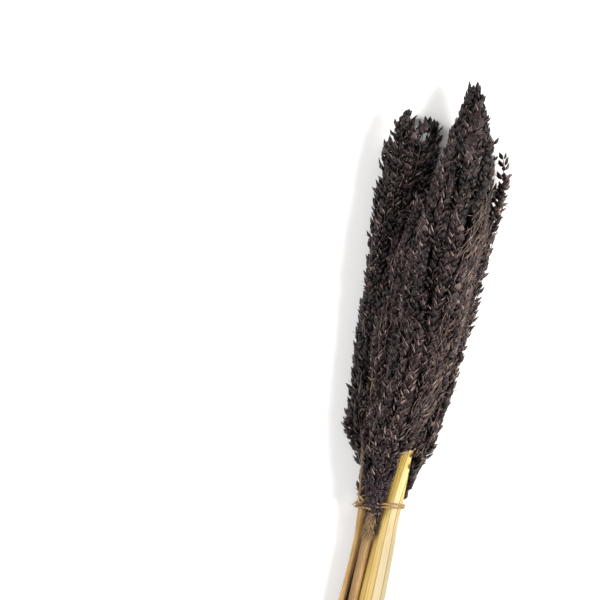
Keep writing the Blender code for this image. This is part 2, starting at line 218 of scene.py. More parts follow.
sheath = {
    "start": -203.0,
    "top": 38.3,
    "inner": [(-203, 7.6), (-120, 7.6), (-58, 7.3), (-23, 6.4), (-6, 5.2), (6, 5.2), (22, 5.8), (39, 6.4)],
    "left": [(-203, 205), (-40, 200), (-10, 185), (5, 176), (22, 162), (33, 131), (39, 116)],  # degrees
    "right": [(-203, -40), (-40, -35), (-10, -20), (4, 12), (22, 52), (33, 68), (39, 74)],
    "wall": 0.9,
    "seenLeft": [(-40, -1.6), (-10, -0.4), (0, 0.4), (20, 1.8), (33, 3.2), (41, 9.5)],  # x of its free edge
    "seenRight": 8.0,  # degrees: its right edge as seen from above
    "bare": (0.3, 3.4),  # no seeds this far past its right edge and its top
    "spare": (2.0, 8.0),  # nor within it, this far past its top and, in degrees, past its edges
    "ridges": [-60, -20, 14, 54, 94, 126, 156, 190, 230],  # degrees, where its flats meet
    "flatness": 0.75,  # how much of a flat's hollow against the round is kept
    "cells": (150, 110),  # across and along
    "ribs": (62, 0.05),  # veins round a full turn, and how high they stand
    "cutTop": [(0.0, 31.0), (0.28, 33.4), (0.5, 35.2), (0.86, 38.4), (1.0, 36.2)],  # across, y
    "fray": 0.22,  # how uneven the cut is
    "thinEdge": (0.35, 0.02),  # the wall at the cut, and how it thickens from there
    "veinLines": (3.2, 2.6),  # half-widths in degrees of the lines at the ridges and of the one between
    "midVein": 110.0,
    "fold": 95.0,  # degrees: gold to the left of it and cream to the right
}
sheathInner, sheathLeft, sheathRight = (smoothThrough(sheath[key]) for key in ("inner", "left", "right"))


def onSheath(points, room):
    # whether points lie over the part of the sheath that no seeds cover
    y = points[..., 1]
    left = np.interp(y, *zip(*sheath["seenLeft"])) + room
    angle = np.radians(np.maximum(sheathRight(y), sheath["seenRight"]))
    pastEdge, pastTop = sheath["bare"]
    right = heads["right"]["x"](y) + (sheathInner(y) + sheath["wall"]) * np.cos(angle) + pastEdge
    return (y < sheath["top"] + pastTop - room) & (points[..., 0] > left) & (points[..., 0] < right)


def inSheath(points, room):
    # whether points lie within the sheath's sweep round the right stalk
    right = heads["right"]
    y = points[..., 1]
    dx, dz = points[..., 0] - right["x"](y), points[..., 2] - right["z"](y)
    degrees = np.degrees(np.arctan2(dz, dx))
    degrees = np.where(degrees < -90, degrees + 360, degrees)
    near = np.hypot(dx, dz) < sheathInner(y) + sheath["wall"] + room
    over, past = sheath["spare"]
    near &= y < sheath["top"] + over
    return near & (degrees > sheathRight(y) - past) & (degrees < sheathLeft(y) + past)


def unitVectors(v):
    return v / np.maximum(np.linalg.norm(v, axis=-1, keepdims=True), 1e-9)


# ---- nodes and materials ----
def linearColour(hexValue):
    # sRGB hex to linear: divide by 12.92 in the darkest part, and a power of 2.4 above it
    srgb = [int(hexValue[i : i + 2], 16) / 255 for i in (1, 3, 5)]
    return (*[c / 12.92 if c <= 0.04045 else ((c + 0.055) / 1.055) ** 2.4 for c in srgb], 1.0)


def addNode(tree, kind, settings=None, links=None):
    # settings are the node's own properties, or its inputs by name or number; links are input: socket
    node = tree.nodes.new(kind)
    for key, value in (settings or {}).items():
        if isinstance(key, str) and hasattr(node, key):
            setattr(node, key, value)
        else:
            node.inputs[key].default_value = value
    for key, socket in (links or {}).items():
        tree.links.new(socket, node.inputs[key])
    return node


def colourRamp(tree, factor, stops):
    ramp = addNode(tree, "ShaderNodeValToRGB", links={"Fac": factor})
    while len(ramp.color_ramp.elements) < len(stops):
        ramp.color_ramp.elements.new(1.0)
    for element, (position, hexValue) in zip(ramp.color_ramp.elements, stops):
        element.position = position
        element.color = linearColour(hexValue)
    return ramp.outputs["Color"]


def valueRamp(tree, factor, low, high, outLow, outHigh):
    settings = {"interpolation_type": "SMOOTHSTEP", "From Min": low, "From Max": high}
    settings |= {"To Min": outLow, "To Max": outHigh}
    return addNode(tree, "ShaderNodeMapRange", settings, {"Value": factor}).outputs["Result"]


def mixColours(tree, factor, first, second):
    mix = addNode(tree, "ShaderNodeMix", {"data_type": "RGBA"})
    for key, value in ((0, factor), (6, first), (7, second)):
        if isinstance(value, str):
            mix.inputs[key].default_value = linearColour(value)
        else:
            tree.links.new(value, mix.inputs[key])
    return mix.outputs[2]


def startMaterial(name, settings):
    material = bpy.data.materials.new(name)
    material.use_nodes = True
    tree = material.node_tree
    shader = tree.nodes["Principled BSDF"]
    for key, value in settings.items():
        shader.inputs[key].default_value = value
    return material, tree, shader


def inMillimetres(tree, stretch=(1.0, 1.0, 1.0)):
    # object coordinates in millimetres; a stretch of 0.1 draws a pattern ten times as long that way
    place = addNode(tree, "ShaderNodeTexCoord")
    scale = [s / mm for s in stretch]
    made = addNode(tree, "ShaderNodeMapping", {"Scale": scale}, {"Vector": place.outputs["Object"]})
    return made.outputs["Vector"]


def noise(tree, vector, size, detail=3.0):
    # noise whose blotches are about size millimetres
    settings = {"Scale": 1.0 / size, "Detail": detail, "Roughness": 0.55}
    return addNode(tree, "ShaderNodeTexNoise", settings, {"Vector": vector}).outputs["Fac"]


def addBump(tree, shader, height, strength, distance):
    settings = {"Strength": strength, "Distance": distance * mm}
    bump = addNode(tree, "ShaderNodeBump", settings, {"Height": height})
    tree.links.new(bump.outputs["Normal"], shader.inputs["Normal"])


def huskMaterial():
    # dried sorghum glumes: thin papery husks, nearly black purple-brown, dull with a faint dry gloss on
    # their keels, paler at the tips and rims (partly faded margins, partly painted highlight), darkened
    # towards their feet with painted shade, and more violet near the tie
    gloss = {"Roughness": 0.42, "IOR": 1.48, "Specular IOR Level": 0.22}
    material, tree, shader = startMaterial("driedSorghumHusk", gloss)
    grown = addNode(tree, "ShaderNodeAttribute", {"attribute_name": "husk"})  # along, across, chance
    parts = addNode(tree, "ShaderNodeSeparateXYZ", links={"Vector": grown.outputs["Vector"]})
    tone = addNode(tree, "ShaderNodeAttribute", {"attribute_name": "tone"}).outputs["Fac"]
    chance = parts.outputs["Z"]
    tints = colourRamp(tree, chance, [
        (0.0, "#140b0c"), (0.25, "#1d1213"), (0.5, "#281b1d"),
        (0.72, "#342527"), (0.88, "#4a3838"), (1.0, "#7d6662"),
    ])
    vector = inMillimetres(tree)
    patches = noise(tree, vector, 9.0, 2.0)
    tints = mixColours(tree, valueRamp(tree, patches, 0.35, 0.7, 0.0, 0.55), tints, "#1d1218")
    height = addNode(tree, "ShaderNodeSeparateXYZ", links={"Vector": vector}).outputs["Y"]
    tints = mixColours(tree, valueRamp(tree, height, -30.0, 25.0, 0.5, 0.0), tints, "#2b1c2d")
    # painted shade: each husk darkens towards its foot, where it sits in the gaps between its neighbours
    foot = valueRamp(tree, parts.outputs["X"], 0.05, 0.5, 0.85, 0.0)
    tints = mixColours(tree, foot, tints, "#0b0706")
    # paler tips and rims: partly the husks' faded margins, partly painted highlight
    fadedAndHighlight = mixColours(tree, valueRamp(tree, chance, 0.3, 0.95, 0.0, 1.0), "#5f4b48", "#d3bdb1")
    tip = valueRamp(tree, parts.outputs["X"], 0.8, 1.0, 0.0, 0.5)
    tints = mixColours(tree, tip, tints, fadedAndHighlight)
    rim = valueRamp(tree, parts.outputs["Y"], 0.4, 0.92, 0.0, 0.6)
    tints = mixColours(tree, rim, tints, fadedAndHighlight)
    # the tone attribute scales the colour: random tone, the left head's paler side, and painted shade on
    # inner husks
    shade = addNode(tree, "ShaderNodeMapRange", {"To Min": 0.2, "To Max": 1.6}, {"Value": tone})
    shaded = addNode(tree, "ShaderNodeVectorMath", {"operation": "SCALE"}, {"Scale": shade.outputs[0]})
    tree.links.new(tints, shaded.inputs[0])
    tree.links.new(shaded.outputs[0], shader.inputs["Base Color"])
    veins = noise(tree, vector, 0.5, 2.0)  # the veins are 0.2 mm apart, drawn coarser so that they show
    addBump(tree, shader, veins, 0.5, 0.25)
    return material


def grainyMaterial(name, roughness, size, stops, stretch=(1, 1, 1), bump=None):
    # one blotchy colour, and a bump of the same grain
    material, tree, shader = startMaterial(name, {"Roughness": roughness, "IOR": 1.45})
    grain = noise(tree, inMillimetres(tree, stretch), size)
    tree.links.new(colourRamp(tree, grain, stops), shader.inputs["Base Color"])
    if bump:
        addBump(tree, shader, grain, *bump)
    return material


def stalkMaterial():
    # a dried sorghum stalk: a waxy, faintly glossy skin over lengthwise fibres, tan with browner streaks,
    # and stained purple-brown towards the head
    material, tree, shader = startMaterial("driedSorghumStalk", {"Roughness": 0.48, "IOR": 1.47})
    fibres = noise(tree, inMillimetres(tree, (1, 0.02, 1)), 0.45, 3.0)
    blotches = noise(tree, inMillimetres(tree, (1, 0.25, 1)), 7.0, 2.0)
    colour = colourRamp(tree, blotches, [(0.3, "#9b733d"), (0.5, "#b18a4c"), (0.72, "#c4a065")])
    streaks = valueRamp(tree, fibres, 0.42, 0.72, 0.0, 0.55)
    colour = mixColours(tree, streaks, colour, "#694a24")
    pale = valueRamp(tree, fibres, 0.2, 0.4, 0.5, 0.0)
    colour = mixColours(tree, pale, colour, "#c4a878")
    # stained purple-brown towards the head; on the back stalk the stain is partly painted shade
    stainAndShade = addNode(tree, "ShaderNodeAttribute", {"attribute_name": "stainAndShade"}).outputs["Fac"]
    colour = mixColours(tree, stainAndShade, colour, "#3a251c")
    tree.links.new(colour, shader.inputs["Base Color"])
    addBump(tree, shader, fibres, 0.5, 0.12)
    return material


def sheathMaterial():
    # a dried leaf sheath: smooth, parchment-like, with a faint gloss, golden towards its top and its left
    # edge and cream elsewhere, its veins showing as thin darker lines 0.8 mm apart; the brighter gold at the
    # top is partly its own colour, partly painted light that offsets the seeds' shadow there
    material, tree, shader = startMaterial("driedLeafSheath", {"Roughness": 0.42, "IOR": 1.48})
    grown = addNode(tree, "ShaderNodeAttribute", {"attribute_name": "leaf"})  # cream, up, vein
    parts = addNode(tree, "ShaderNodeSeparateXYZ", links={"Vector": grown.outputs["Vector"]})
    lines = noise(tree, inMillimetres(tree, (1, 0.012, 1)), 0.8, 3.0)
    patches = noise(tree, inMillimetres(tree, (1, 0.12, 1)), 5.0, 2.0)
    golden = mixColours(tree, patches, "#cfb268", "#c0a150")
    # brighter gold towards the top: partly its own colour, partly painted light that offsets the seeds'
    # shadow
    golden = mixColours(tree, valueRamp(tree, parts.outputs["Y"], 0.82, 0.93, 0.0, 1.0), golden, "#e9c968")
    cream = mixColours(tree, patches, "#a69977", "#9a8c68")
    up = valueRamp(tree, parts.outputs["Y"], 0.7, 0.95, 1.0, 0.3)
    amounts = {0: parts.outputs["X"], 1: up}
    both = addNode(tree, "ShaderNodeMath", {"operation": "MULTIPLY"}, amounts)
    colour = mixColours(tree, both.outputs[0], golden, cream)
    colour = mixColours(tree, valueRamp(tree, lines, 0.52, 0.72, 0.0, 0.6), colour, "#84602a")
    colour = mixColours(tree, parts.outputs["Z"], colour, "#6d4c1b")
    tree.links.new(colour, shader.inputs["Base Color"])
    addBump(tree, shader, lines, 0.4, 0.1)
    return material


husk, stalkSkin, leafSkin = huskMaterial(), stalkMaterial(), sheathMaterial()
# the panicle's fine branches: dried stem, purple-brown fading to tan
twig = grainyMaterial(
    "driedPanicleTwig", 0.7, 4.0, [(0.3, "#2a1c18"), (0.55, "#46342c"), (0.8, "#6d5547")], (1, 0.4, 1)
)
# shrivelled sterile spikelets and bristles: the palest, thinnest bits, pinkish straw
awn = grainyMaterial("shrivelledSpikelet", 0.65, 2.0, [(0.3, "#4a3935"), (0.5, "#80695f"), (0.72, "#c2ada2")])
# bare twigs: dried stem whose skin has faded to a dull straw brown
straw = grainyMaterial("bareStrawTwig", 0.6, 5.0, [(0.3, "#382a27"), (0.5, "#6d5952"), (0.72, "#a58f85")])
# the cut end: dry, spongy, cream pith
pith = grainyMaterial("driedPith", 0.9, 0.5, [(0.3, "#bfa678"), (0.6, "#e4d3ab")], bump=(0.6, 0.3))
# jute twine: two loosely spun plies of dull, hairy, golden-brown bast fibre
jute = grainyMaterial(
    "juteTwine", 0.85, 0.6, [(0.28, "#6a5233"), (0.5, "#977a52"), (0.72, "#c2a77e")], bump=(0.6, 0.2)
)
print("materials made")


# ---- meshes ----
def meshPiece(name, points, faceLists, materials, nodes, attributes=None):
    # faceLists holds (array of faces, material number); points are millimetres from the tie
    mesh = bpy.data.meshes.new(name)
    points = (np.asarray(points, float) + np.array(bunch["place"])) * mm
    mesh.vertices.add(len(points))
    mesh.vertices.foreach_set("co", points.astype(np.float32).ravel())
    corners = np.concatenate([np.asarray(f).ravel() for f, _ in faceLists])
    sizes = np.concatenate([np.full(len(f), np.asarray(f).shape[1]) for f, _ in faceLists])
    numbers = np.concatenate([np.full(len(f), m) for f, m in faceLists])
    mesh.loops.add(len(corners))
    mesh.loops.foreach_set("vertex_index", corners.astype(np.int32))
    mesh.polygons.add(len(sizes))
    mesh.polygons.foreach_set("loop_start", np.concatenate([[0], np.cumsum(sizes)[:-1]]).astype(np.int32))
    mesh.polygons.foreach_set("material_index", numbers.astype(np.int32))
    mesh.polygons.foreach_set("use_smooth", np.full(len(sizes), True))
    for key, value in (attributes or {}).items():
        value = np.asarray(value, np.float32)
        kind, field = ("FLOAT_VECTOR", "vector") if value.ndim == 2 else ("FLOAT", "value")
        mesh.attributes.new(key, kind, "POINT").data.foreach_set(field, value.ravel())
    mesh.update(calc_edges=True)
    mesh.validate()
    for material in materials:
        mesh.materials.append(material)
    piece = bpy.data.objects.new(name, mesh)
    bpy.context.scene.collection.objects.link(piece)
    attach(piece, "root")
    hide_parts(*nodes)


def ringFaces(rings, sides):
    # quads between neighbouring rings of points
    ring, side = np.meshgrid(np.arange(rings - 1), np.arange(sides), indexing="ij")
    a, b = ring * sides + side, ring * sides + (side + 1) % sides
    return np.stack([a, b, b + sides, a + sides], axis=-1).reshape(-1, 4)


def endFaces(rings, sides):
    # the many-sided faces that close the first and the last ring
    return np.stack([np.arange(sides)[::-1], (rings - 1) * sides + np.arange(sides)])


def huskShape():
    # one spikelet along its own axis: a diamond with rounded corners, widest at two fifths, with a keel
    # outside and a shallow back. Every ring is the same six-cornered section times the half-width there.
    along = np.array([0.04, 0.22, 0.44, 0.68, 0.88])
    width = np.array([0.36, 0.8, 1.0, 0.64, 0.26])
    section = np.array([(0, 1.0), (-0.62, 0.66), (-1, 0), (0, -0.5), (1, 0), (0.62, 0.66)])
    body = np.concatenate([np.column_stack([np.full(6, a), section * w]) for a, w in zip(along, width)])
    points = np.concatenate([body, [[0.0, 0, 0], [1.0, 0, 0.05]]])
    quads = ringFaces(5, 6)[:, ::-1]
    side = np.arange(6)
    foot = np.stack([np.full(6, 30), (side + 1) % 6, side], axis=-1)
    tip = np.stack([np.full(6, 31), 24 + side, 24 + (side + 1) % 6], axis=-1)
    rim = np.append(np.tile([0, 0.1, 1, 0, 1, 0.1], 5), [0, 1])
    return points, quads, np.concatenate([foot, tip]), rim


def awnShape():
    # a thin, three-sided spike
    turn = np.arange(3) * 2 * np.pi / 3
    base = np.stack([np.full(3, 0.0), np.cos(turn) * 0.6, np.sin(turn) * 0.6], axis=-1)
    middle = np.stack([np.full(3, 0.45), np.cos(turn), np.sin(turn)], axis=-1)
    points = np.concatenate([base, middle, [[1.0, 0, 0]]])
    side = np.arange(3)
    quads = np.stack([side, 3 + side, 3 + (side + 1) % 3, (side + 1) % 3], axis=-1)
    tris = np.stack([3 + side, np.full(3, 6), 3 + (side + 1) % 3], axis=-1)
    return points, quads, np.concatenate([tris, [[0, 1, 2]]])


*huskKind, huskRim = huskShape()
awnKind = awnShape()


def placeShapes(kind, base, ahead, outward, size, curl):
    # many copies of one small shape, none of them under the surface: each point is base + along * ahead +
    # across * side + out * outward, curled towards or from the branch by curl * along squared
    shape, quads, tris = kind
    ahead = unitVectors(ahead)
    side = unitVectors(np.cross(ahead, outward))
    outward = np.cross(side, ahead)
    along, across, out = (shape[None, :, i, None] * size[:, None, i, None] for i in range(3))
    out = out + curl[:, None, None] * along * shape[None, :, 0:1]
    points = base[:, None] + along * ahead[:, None] + across * side[:, None] + out * outward[:, None]
    points = points.reshape(-1, 3)
    points[:, 2] = np.maximum(points[:, 2], 0.05)
    offset = (np.arange(len(base)) * len(shape))[:, None, None]
    return points, (quads[None] + offset).reshape(-1, 4), (tris[None] + offset).reshape(-1, 3)


def pathFrames(path, centre):
    # along the path, and away from the line it grows round
    ahead = unitVectors(np.gradient(path, axis=-2))
    away = path - centre
    away = unitVectors(away - ahead * (away * ahead).sum(-1, keepdims=True))
    return ahead, away, np.cross(ahead, away)


# ---- the seed branches ----
branch = {
    "pitch": 7.0,  # between neighbouring branches at the outside of a head
    "fewest": 5,  # in a row
    "rowPitch": (7.5, 24.0),  # from one row's foot to the next, at the bottom and in the head
    "rowChange": 60.0,  # the height over which it grows from the one to the other
    "below": 4.0,  # the lowest row's foot under the first whorl's
    "length": 60.0,
    "lowest": (17.0, 0.95),  # the lowest branches' length, and how it grows with height
    "shortest": 6.0,
    "uneven": {"foot": 3.0, "angle": 0.14, "length": (0.9, 1.08), "drift": 0.12, "tone": 0.1},
    "steps": 15,
    "wayOut": 0.5,  # of its length, till it reaches the outside
    "sunk": (3.0, 1.0),  # its stem under the head's outline, and how much that differs
    "lift": (-2.4, 4.0),  # how far a loose branch's end bends in and out
    "thin": (0.04, 0.34),  # share of spikelets lost, and how much more on a loose branch
    "nodePitch": 2.75,  # along a branch, from one pair of spikelets to the next
    "stemRadius": (0.55, 0.22),
    "paleSide": 150.0,  # degrees: where the paler husks of the left head face
}
spikelet = {
    "length": 5.3,
    "width": 1.85,  # half of it
    "thickness": 1.2,
    "around": ((-58, 58), (0, -104, 104)),  # degrees round the branch, in turns
    "first": 0.16,  # share of the branch under the first pair
    "ending": 0.2,  # share of the branch that is its end, where spikelets close up
    "lean": (30.0, 10.0),  # degrees from its branch, along it and at its end
    "foot": 1.0,  # its foot from the middle of the branch
    "looser": (18.0, 0.6),  # on a loose branch: more lean, and the foot further out
    "curl": (-0.1, 0.1),
    "shade": (0.6, 4.0, 0.5),  # painted shade: inner husks darken from this depth, over this depth, by this much tone
    "uneven": {"along": 0.006, "around": 0.14, "lean": 6.0, "size": 0.13, "width": 0.14, "tone": 0.16},
}


def branchPaths(head, foot, angle, length, drift, sunk):
    # y rises evenly from the foot; the distance from the rachis grows along a smooth step till wayOut of
    # the length, and follows the outside of the head from there
    s = np.linspace(0, 1, branch["steps"])[None, :]
    y = foot[:, None] + length[:, None] * s
    turn = angle[:, None] + drift[:, None] * s
    t = np.clip(s / branch["wayOut"], 0, 1)
    share = t * t * (3 - 2 * t)
    inner = head["stalkRadius"](y)
    narrow = 1 - (1 - head["apex"]) * np.clip((y - head["tip"][1] + 34) / 18, 0, 1)
    reach = pressedReach(head, y, turn, head["radius"](y) * narrow)
    outer = np.maximum(reach - sunk[:, None], inner + 0.4)
    r = inner + (outer - inner) * share
    return onHead(head, y, r, turn), np.stack([head["x"](y), y, head["z"](y)], axis=-1), s[0]


def growBranches(head, paths, centres, rng, tone, thin, looseness):
    # spikelets in twos and threes round each branch, turned from pair to pair, all leaning forward
    uneven = spikelet["uneven"]
    ahead, away, side = pathFrames(paths, centres)
    lengths = np.linalg.norm(np.diff(paths, axis=1), axis=-1).sum(1)
    pairs = int(lengths.max() / branch["nodePitch"])
    places = [(k, degrees) for k in range(pairs) for degrees in spikelet["around"][k % 2]]
    k, around = np.array(places, float).T
    share = spikelet["first"] + (1 - spikelet["first"]) * (k + 1) / pairs
    at = share[None, :] + rng.normal(0, uneven["along"], (len(paths), len(k)))
    at = np.clip(at, 0, 1)
    spot = at * (paths.shape[1] - 1)
    low = np.minimum(spot.astype(int), paths.shape[1] - 2)
    part = (spot - low)[..., None]
    row = np.arange(len(paths))[:, None]

    def between(v):
        return v[row, low] * (1 - part) + v[row, low + 1] * part

    point, forward, out, across = between(paths), unitVectors(between(ahead)), between(away), between(side)
    turn = np.radians(around)[None, :] + rng.normal(0, uneven["around"], at.shape)
    radial = unitVectors(out * np.cos(turn)[..., None] + across * np.sin(turn)[..., None])
    ending = np.clip((at - 1) / spikelet["ending"] + 1, 0, 1)
    moreLean, furtherOut = spikelet["looser"]
    lean = np.interp(ending, (0, 1), spikelet["lean"]) + rng.normal(0, uneven["lean"], at.shape)
    lean = np.radians(lean + moreLean * looseness[:, None])[..., None]
    heading = forward * np.cos(lean) + radial * np.sin(lean)
    foot = spikelet["foot"] * (1 - 0.75 * ending) * (1 + furtherOut * looseness[:, None])
    base = point + radial * foot[..., None]
    size = np.exp(rng.normal(0, uneven["size"], at.shape))
    size = np.stack([
        size * spikelet["length"],
        size * spikelet["width"] * np.exp(rng.normal(0, uneven["width"], at.shape)),
        size * spikelet["thickness"] * np.exp(rng.normal(0, uneven["width"], at.shape)),
    ], axis=-1)
    keep = rng.random(at.shape) > thin[:, None]
    stretch = lengths[:, None] / lengths.max()  # a short branch has fewer pairs
    keep &= rng.random(at.shape) < np.maximum(stretch, 0.35)
    middle = base + heading * (0.45 * spikelet["length"])
    keep &= ~onSheath(middle, 0.9) & ~inSheath(middle, 1.2) & ~inSheath(base, 0.3)
    keep &= (middle[..., 1] > head["base"]) & (heading[..., 1] > 0.2)
    chance = rng.beta(2.0, 2.1, at.shape)
    start, over, much = spikelet["shade"]
    depth = pressedReach(head, point[..., 1], headAngle(head, point), head["radius"](point[..., 1]))
    depth = np.clip((depth - headReach(head, middle) - start) / over, 0, 1)  # painted shade: the deeper a husk lies under the head's outline, the darker
    tonesAndShade = np.broadcast_to(tone[:, None], at.shape) + rng.normal(0, uneven["tone"], at.shape) - much * depth
    curl = rng.normal(*spikelet["curl"], at.shape)
    return [v[keep] for v in (base, heading, radial, size, chance, tonesAndShade, curl)]


def seedMeshes(base, heading, radial, size, chance, tone, curl):
    placed = placeShapes(huskKind, base, heading, radial, size, curl)
    n, m = len(base), len(huskRim)
    along = np.broadcast_to(huskKind[0][None, :, 0], (n, m))
    across = np.broadcast_to(huskRim[None], (n, m))
    husks = np.stack([along, across, np.broadcast_to(chance[:, None], (n, m))], axis=-1).reshape(-1, 3)
    return *placed, husks, np.repeat(np.clip(tone, 0, 1), m)


bristle = {
    "share": 0.33,  # one beside every third spikelet
    "length": (3.2, 7.0),
    "width": (0.16, 0.38),  # half of it
    "thickness": (0.16, 0.3),
    "splay": (0.28, 0.25),  # how far it strays from the spikelet's heading, and how far it stands out
    "curl": (0.05, 0.12),
}


def awnMeshes(base, heading, radial, rng):
    pick = rng.random(len(base)) < bristle["share"]
    base, heading, radial = base[pick], heading[pick], radial[pick]
    stray, out = bristle["splay"]
    heading = unitVectors(heading + rng.normal(0, stray, heading.shape) + out * radial)
    size = [rng.uniform(*bristle[key], len(base)) for key in ("length", "width", "thickness")]
    curl = rng.normal(*bristle["curl"], len(base))
    return placeShapes(awnKind, base, heading, radial, np.stack(size, axis=-1), curl)


def tubes(paths, radii, sides):
    # rings of points round many paths at once, all with the same number of steps; ends close to a point
    ahead = unitVectors(np.gradient(paths, axis=-2))
    reference = np.where(np.abs(ahead[..., 1:2]) > 0.9, np.array([1.0, 0, 0]), np.array([0, 1.0, 0]))
    side = unitVectors(np.cross(ahead, reference))
    up = np.cross(ahead, side)
    turn = np.arange(sides) * 2 * np.pi / sides
    ring = side[..., None, :] * np.cos(turn)[:, None] + up[..., None, :] * np.sin(turn)[:, None]
    points = paths[..., None, :] + ring * radii[..., None, None]
    count, steps = paths.shape[:2]
    offset = (np.arange(count) * steps * sides)[:, None, None]
    quads = (ringFaces(steps, sides)[None] + offset).reshape(-1, 4)
    return points.reshape(-1, 3), quads, (endFaces(steps, sides)[None] + offset).reshape(-1, sides)


straws = {
    "front": {"count": 330, "y": (44, 180), "degrees": (-15, 74), "sweep": -30},
    "right": {"count": 110, "y": (30, 190), "degrees": (-20, 70), "sweep": -20},
    "left": {"count": 90, "y": (8, 150), "degrees": (110, 220), "sweep": 16},
    "back": {"count": 30, "y": (24, 200), "degrees": (60, 200), "sweep": 20},
}
strawShape = {
    "length": (5, 20),
    "steps": 9,
    "radius": (0.1, 0.21),
    "height": (-1.7, 0.0),  # its foot, from the head's outline
    "bow": 1.4,  # at most, at its middle
    "rise": 0.6,  # at its end
    "sweep": (20, 24.0),  # how much the sweep differs, and the length it is given for
    "wander": 0.07,
}


def layStraws(head, low, high, rng):
    # bare twigs and the stems of fallen spikelets, lying on the seeds: y rises evenly, the angle sweeps,
    # and the distance from the rachis bows out along a parabola and rises with the cube of the way along
    here = straws[head["name"]]
    foot = rng.uniform(*here["y"], here["count"])
    foot = foot[(foot >= low) & (foot < high)]
    count = len(foot)
    length = rng.uniform(*strawShape["length"], count)
    t = np.linspace(0, 1, strawShape["steps"])[None, :]
    start = np.radians(rng.uniform(*here["degrees"], count))
    spread, per = strawShape["sweep"]
    sweep = np.radians(rng.normal(here["sweep"], spread, count)) * length / per
    wander = rng.normal(0, strawShape["wander"], (count, 1)) * np.sin(3.4 * t)
    angle = start[:, None] + sweep[:, None] * t + wander
    y = foot[:, None] + length[:, None] * t
    r = pressedReach(head, y, angle, head["radius"](y)) + rng.uniform(*strawShape["height"], (count, 1))
    r += strawShape["bow"] * 4 * t * (1 - t) * rng.uniform(0, 1, (count, 1)) + strawShape["rise"] * t**3
    paths = onHead(head, y, r, angle)
    paths = paths[~(onSheath(paths, -0.5).any(axis=1))]
    radii = rng.uniform(*strawShape["radius"], len(paths))[:, None] * (1.1 - 0.5 * t)
    return tubes(paths, radii, 4)


def headRows(head, rng):
    # every branch of a head: foot, angle and length, row by row from the bottom
    uneven = branch["uneven"]
    base, top = head["whorls"][0][0] - branch["below"], head["tip"][1] + head["crown"]
    foot, found, row = base, [], 0
    while foot < top - 9:
        lowest, growth = branch["lowest"]
        length = min(branch["length"], lowest + growth * (foot - base), 1.02 * (top - foot))
        reach = float(head["radius"](foot + 0.7 * length))
        count = max(branch["fewest"], round(2 * np.pi * reach / branch["pitch"]))
        turn = (np.arange(count) + 0.5 * (row % 2)) * 2 * np.pi / count
        angles = turn + rng.normal(0, uneven["angle"], count)
        feet = foot + rng.uniform(-uneven["foot"], uneven["foot"], count)
        found.append(np.stack([feet, angles, length * rng.uniform(*uneven["length"], count)], axis=-1))
        foot += np.interp(foot - base, (0, branch["rowChange"]), branch["rowPitch"])
        row += 1
    rows = np.concatenate(found)
    for low, share in head["sparse"]:  # branches lost near the top
        rows = rows[(rows[:, 0] < low) | (rng.random(len(rows)) > share)]
    ends = top + 1.0 - rng.uniform(0, 1, len(rows)) * head["ragged"]
    rows[:, 2] = np.minimum(rows[:, 2], ends - rows[:, 0])
    return rows[rows[:, 2] > branch["shortest"]]


def seedPiece(name, head, rows, nodes, low, high, rng):
    # the branches of one whorl or tip, with everything that grows or lies on them
    foot, angle, length = rows.T
    uneven, count = branch["uneven"], len(rows)
    loose = np.interp(foot + length * 0.8, *zip(*head["loose"]))
    drift = rng.normal(0, uneven["drift"], count)
    sunk = branch["sunk"][0] + rng.normal(0, branch["sunk"][1], count)
    paths, centres, s = branchPaths(head, foot, angle, length, drift, sunk)
    lift = loose * rng.uniform(*branch["lift"], count)
    away = unitVectors(paths - centres + 1e-6)
    paths = paths + away * (lift[:, None] * s[None, :] ** 2)[..., None]
    tone = head["tone"] + rng.normal(0, uneven["tone"], count)
    tone += head["pale"] * np.clip(np.cos(angle - math.radians(branch["paleSide"])), 0, 1) ** 2
    lost, more = branch["thin"]
    grown = growBranches(head, paths, centres, rng, tone, lost + more * loose, loose)
    seeds = seedMeshes(*grown)
    bristles = awnMeshes(*grown[:3], rng)
    clear = ~(onSheath(paths, 0.6) | inSheath(paths, 0.6)).any(axis=1)
    radii = np.broadcast_to(np.linspace(*branch["stemRadius"], branch["steps"]), paths[clear].shape[:2])
    stems = tubes(paths[clear], radii, 4)
    parts = [(*seeds[:3], 0), (*bristles, 2), (*stems, 1), (*layStraws(head, low, high, rng), 3)]
    points, faces, attributes = joinParts(parts, {0: seeds[3:]})
    points[:, 2] = np.maximum(points[:, 2], 0.02)
    meshPiece(name, points, faces, [husk, twig, awn, straw], nodes, attributes)
    return len(grown[0])


def joinParts(parts, husks):
    # one mesh of several parts, each of them (points, quads, other faces, material number); husks holds the
    # husk and tone values of the parts that are husks
    points = np.concatenate([p[0] for p in parts])
    firsts = np.cumsum([0] + [len(p[0]) for p in parts[:-1]])
    faces = [(f + first, p[3]) for p, first in zip(parts, firsts) for f in p[1:3]]
    values = [husks.get(i, (np.zeros((len(p[0]), 3)), np.full(len(p[0]), 0.5))) for i, p in enumerate(parts)]
    attributes = {key: np.concatenate([v[i] for v in values]) for i, key in enumerate(("husk", "tone"))}
    return points, faces, attributes


def growHead(head):
    rng = np.random.default_rng(head["seed"])
    rows = headRows(head, rng)
    starts = [y for y, _ in head["whorls"]] + [head["tip"][0]]
    total = 0
    for i, (start, after) in enumerate(zip(starts, starts[1:] + [1e9])):
        inside = (rows[:, 0] >= (start if i else -1e9)) & (rows[:, 0] < after)
        if i < len(head["whorls"]):
            nodes = [f"{head['name']}_whorl{i + 1}_branch{n + 1}" for n in range(head["whorls"][i][1])]
            name = f"{head['name']}Whorl{i + 1}Seeds"
        else:
            nodes, name = [f"{head['name']}_tip"], f"{head['name']}TipSeeds"
        total += seedPiece(name, head, rows[inside], nodes, start, after, rng)
    print(head["name"], "head:", len(rows), "branches,", total, "spikelets")


for head in heads.values():
    growHead(head)
